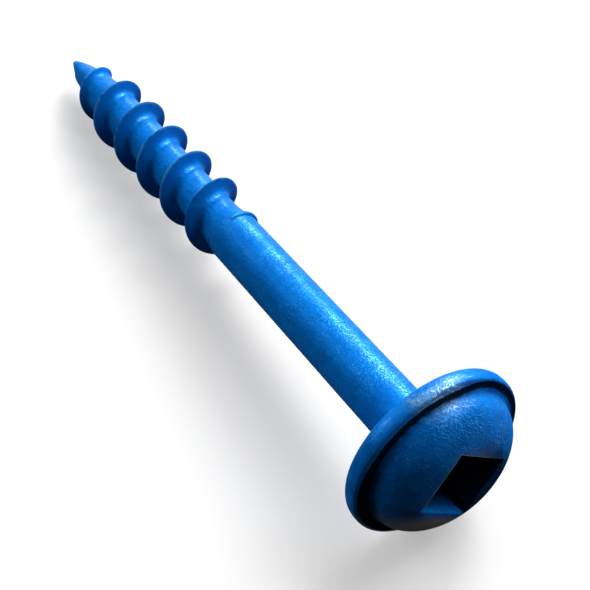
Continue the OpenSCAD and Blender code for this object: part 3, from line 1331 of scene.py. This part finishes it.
@dataclass
class Screw:
    """The whole screw: head, smooth shank, thread and notched point."""

    length: float = 38.1
    steps: int = 160
    rest_turns: int = 8
    weld_gap: float = 0.00005
    least_edge: float = 0.00001
    sharp_angle: float = 42.0
    head: Head = field(default_factory=Head)
    shank: Shank = field(default_factory=Shank)
    thread: Thread = field(default_factory=Thread)
    notch: Notch = field(default_factory=Notch)
    coating: BlueCoating = field(default_factory=BlueCoating)

    def crest_r(self, z: float) -> float:
        """Radius of the crest, with the run-out and the point.

        Args:
            z: Height along the axis.

        Returns:
            The radius.
        """
        shank_r, thread = self.shank.diameter / 2, self.thread
        rising = min(1.0, max(0.0, (-self.shank.length - z) / thread.runout_len))
        along = min(1.0, max(0.0, (z + self.length) / thread.point_len))
        depth = thread.outer_d / 2 - shank_r + thread.crest_sink
        out = shank_r - thread.crest_sink + depth * (1 - (1 - rising) ** thread.runout_pow)
        return out * (1 - (1 - along) ** thread.crest_pow)

    def rest_tilt(self) -> float:
        """Lean of the axis when the rim and a crest touch the floor.

        Returns:
            The angle, in degrees.
        """
        head, thread = self.head, self.thread
        tilts = []
        for turn in range(self.rest_turns):
            turns = thread.turn / 360 + turn
            z = thread.start_bend - self.shank.length - thread.pitch * turns
            if z > thread.crowd_len - self.length:
                run, drop = head.flange_t / 2 - z, head.rim_r - self.crest_r(z)
                lift = math.asin(head.rim_round / math.hypot(run, drop))
                tilts.append(math.atan2(drop, run) + lift)
        return math.degrees(min(tilts))

    def plain_mesh(self, first_angle: float) -> bpy.types.Mesh:
        """Makes the head and the smooth shank as rings about the axis.

        Args:
            first_angle: Angle of the first point of each ring, in degrees.

        Returns:
            A mesh that is open at the thread's seam.
        """
        head = self.head
        shape = bmesh.new()
        mark = shape.verts.layers.float.new(Mark.MOUTH.value)
        floor = shape.verts.new((0, 0, head.height - head.drive_depth - head.drive_pip))
        tail = self.shank.meridian(head.rim_r, self.thread.seam_z(self.shank.length))
        columns = []
        for step in range(self.steps):
            degrees = first_angle + 360 * step / self.steps
            angle = math.radians(degrees)
            path, mouth = head.meridian(degrees)
            column = []
            for place, (radius, z) in enumerate(path + tail):
                vert = shape.verts.new((radius * math.cos(angle), radius * math.sin(angle), z))
                vert[mark] = 1.0 if place in mouth else 0.0
                column.append(vert)
            columns.append(column)
        for left, right in zip(columns, columns[1:] + columns[:1]):
            shape.faces.new((floor, left[0], right[0]))
            for row in range(len(left) - 1):
                shape.faces.new((left[row], left[row + 1], right[row + 1], right[row]))
        mesh = bpy.data.meshes.new("head_and_shank")
        shape.to_mesh(mesh)
        shape.free()
        return mesh

    def cut_mesh(self, finish: bpy.types.Material) -> bpy.types.Mesh:
        """Winds the thread onto the shank and cuts the notch.

        Args:
            finish: Material of the whole screw.

        Returns:
            The plain mesh of the whole screw, with its axis along Z.
        """
        first_angle = self.head.drive_turn + 45
        rough = bpy.data.objects.new("screw_surface", self.plain_mesh(first_angle))
        bpy.context.scene.collection.objects.link(rough)
        sizes = self.thread.sizes(self.length, self.shank, first_angle, self.steps)
        WindingTree(sizes, self.thread.lip_shade, finish).put_on(rough, sizes)
        block = self.notch.block(self.length, self.thread.outer_d / 2)
        cut = rough.modifiers.new("notch", "BOOLEAN")
        cut.operation, cut.solver, cut.object = "DIFFERENCE", "EXACT", block
        evaluated = rough.evaluated_get(bpy.context.evaluated_depsgraph_get())
        mesh = bpy.data.meshes.new_from_object(evaluated)
        for helper in (rough, block):
            bpy.data.objects.remove(helper)
        return mesh

    def clean(self, mesh: bpy.types.Mesh) -> None:
        """Merges doubles, turns the faces outwards and sets their shading.

        Args:
            mesh: Mesh of the whole screw, which is changed in place.
        """
        shape = bmesh.new()
        shape.from_mesh(mesh)
        bmesh.ops.remove_doubles(shape, verts=shape.verts, dist=self.weld_gap)
        bmesh.ops.dissolve_degenerate(shape, edges=shape.edges, dist=self.least_edge)
        bmesh.ops.recalc_face_normals(shape, faces=shape.faces)
        open_edges = sum(1 for edge in shape.edges if len(edge.link_faces) != 2)
        LOG.info("%s: %d open edges, %.2f mm3", mesh.name, open_edges, shape.calc_volume())
        shape.to_mesh(mesh)
        shape.free()
        mesh.shade_smooth()
        mesh.set_sharp_from_angle(angle=math.radians(self.sharp_angle))

    def build(self) -> bpy.types.Object:
        """Builds the screw, dresses it and lays it on the floor.

        Returns:
            The finished piece.
        """
        tilt = self.rest_tilt()
        finish = self.coating.material(self.head, tilt)
        mesh = self.cut_mesh(finish)
        self.clean(mesh)
        mesh.transform(Matrix.Rotation(math.radians(90 - tilt), 4, "Y") @ Matrix.Scale(MM, 4))
        mesh.name = "screw_surface"
        mesh.materials.clear()
        mesh.materials.append(finish)
        piece = bpy.data.objects.new("coated_screw", mesh)
        bpy.context.scene.collection.objects.link(piece)
        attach(piece, "root")
        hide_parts("screw")
        LOG.info("%s: %d faces, leaning %.3f degrees", piece.name, len(mesh.polygons), tilt)
        return piece


@dataclass
class Stage:
    """Pale floor under the screw, in metres."""

    size: float = 4.0
    shade: float = 0.82
    bounce: float = 0.03
    lit: float = 0.42
    fade: Stops = (0.10, 0.50)

    def build(self, height: float) -> bpy.types.Object:
        """Lays the floor.

        Args:
            height: Height at which the screw touches it.

        Returns:
            The floor.
        """
        mesh = bpy.data.meshes.new("floor")
        half = self.size / 2
        corners = [(x * half, y * half, height) for x, y in ((-1, -1), (1, -1), (1, 1), (-1, 1))]
        mesh.from_pydata(corners, [], [(0, 1, 2, 3)])
        floor = bpy.data.objects.new("floor", mesh)
        bpy.context.scene.collection.objects.link(floor)
        mesh.materials.append(self.material())
        LOG.info("floor: at %.3f mm", height / MM)
        return floor

    def material(self) -> bpy.types.Material:
        """Makes the pale matt finish, which stays white in view and keeps the shadow.

        Returns:
            The material.
        """
        material, graph = blank_material("pale_floor")
        seen = graph.seen()
        x, y, _ = graph.split(graph.add("ShaderNodeTexCoord").outputs["Object"])
        lit = (x * x + y * y).root().ramp(*self.fade).lift(self.lit)
        colour = graph.mix(seen, (self.bounce,) * 3, (self.shade,) * 3)
        matt = graph.add("ShaderNodeBsdfDiffuse", None, {"Color": colour})
        white = graph.add("ShaderNodeEmission", None, {"Strength": 1.0})
        both = graph.add("ShaderNodeMixShader", None, {
            0: seen * lit, 1: matt.outputs[0], 2: white.outputs[0]})
        graph.add("ShaderNodeOutputMaterial", None, {"Surface": both.outputs[0]})
        return material


@dataclass(frozen=True)
class Lamp:
    """One soft square lamp that looks at the screw, in degrees, metres and watts."""

    name: str
    azimuth: float
    elevation: float
    distance: float
    size: float
    power: float
    aim: Place = (-0.015, 0.0, 0.0)

    def build(self) -> None:
        """Places the lamp."""
        data = bpy.data.lights.new(self.name, "AREA")
        data.shape, data.size, data.energy = "SQUARE", self.size, self.power
        lamp = bpy.data.objects.new(self.name, data)
        turn, rise = math.radians(self.azimuth), math.radians(self.elevation)
        away = Vector((math.cos(turn) * math.cos(rise), math.sin(turn) * math.cos(rise),
                       math.sin(rise)))
        lamp.location = Vector(self.aim) + away * self.distance
        lamp.rotation_euler = away.to_track_quat("Z", "Y").to_euler()
        bpy.context.scene.collection.objects.link(lamp)
        LOG.info("%s: %.2f W at %.2f m", self.name, self.power, self.distance)


@dataclass(frozen=True)
class Studio:
    """Lamps and plain surroundings."""

    surroundings: float = 0.015
    lamps: Sequence[Lamp] = (
        Lamp("key_lamp", azimuth=121, elevation=34, distance=0.42, size=0.12, power=1.02),
        Lamp("wide_lamp", azimuth=110, elevation=41, distance=0.50, size=0.48, power=4.0),
        Lamp("tip_lamp", azimuth=141, elevation=20, distance=0.46, size=0.12, power=0.45,
             aim=(-0.026, 0.0, 0.0)),
        Lamp("back_lamp", azimuth=220, elevation=26, distance=0.50, size=0.26, power=1.1),
        Lamp("side_lamp", azimuth=68, elevation=46, distance=0.50, size=0.16, power=0.30),
    )

    def build(self) -> None:
        """Lights the scene."""
        for lamp in self.lamps:
            lamp.build()
        world = bpy.data.worlds.new("surroundings")
        bpy.context.scene.world = world
        world.use_nodes = True
        world.node_tree.nodes.clear()
        graph = Graph(world.node_tree)
        white = graph.add("ShaderNodeBackground", None, {
            "Color": (1.0, 1.0, 1.0, 1.0), "Strength": graph.seen().lift(self.surroundings)})
        graph.add("ShaderNodeOutputWorld", None, {"Surface": white.outputs[0]})


@dataclass(frozen=True)
class Viewpoint:
    """Camera at the photograph's viewing angle, in millimetres and degrees."""

    place: Place = (19.909, -19.066, 39.662)
    heading: float = 148.134
    fall: float = 47.892
    roll: float = -0.284
    lens: float = 66.44
    sensor: float = 36.0
    nearest: float = 2.0
    furthest: float = 50000.0

    def build(self) -> None:
        """Places the camera and makes it the scene's."""
        data = bpy.data.cameras.new("camera")
        data.sensor_width, data.lens = self.sensor, self.lens
        data.clip_start, data.clip_end = self.nearest * MM, self.furthest * MM
        camera = bpy.data.objects.new("camera", data)
        turn, fall = math.radians(self.heading), math.radians(-self.fall)
        ahead = Vector((math.cos(turn) * math.cos(fall), math.sin(turn) * math.cos(fall),
                        math.sin(fall)))
        right = ahead.cross(Vector((0, 0, 1))).normalized()
        axes = Matrix((right, right.cross(ahead), -ahead)).transposed().to_4x4()
        rolled = Matrix.Rotation(math.radians(self.roll), 4, "Z")
        camera.matrix_world = Matrix.Translation(Vector(self.place) * MM) @ axes @ rolled
        bpy.context.scene.collection.objects.link(camera)
        bpy.context.scene.camera = camera
        LOG.info("camera: lens %.2f mm", self.lens)


def main() -> None:
    """Builds the pieces in order."""
    logging.basicConfig(level=logging.INFO, format="%(name)s: %(message)s")
    bpy.context.scene.view_settings.view_transform = "Standard"
    Viewpoint().build()
    Screw().build()
    Stage().build(CAD_BOX[0][2])
    Studio().build()


if __name__ == "__main__":
    main()
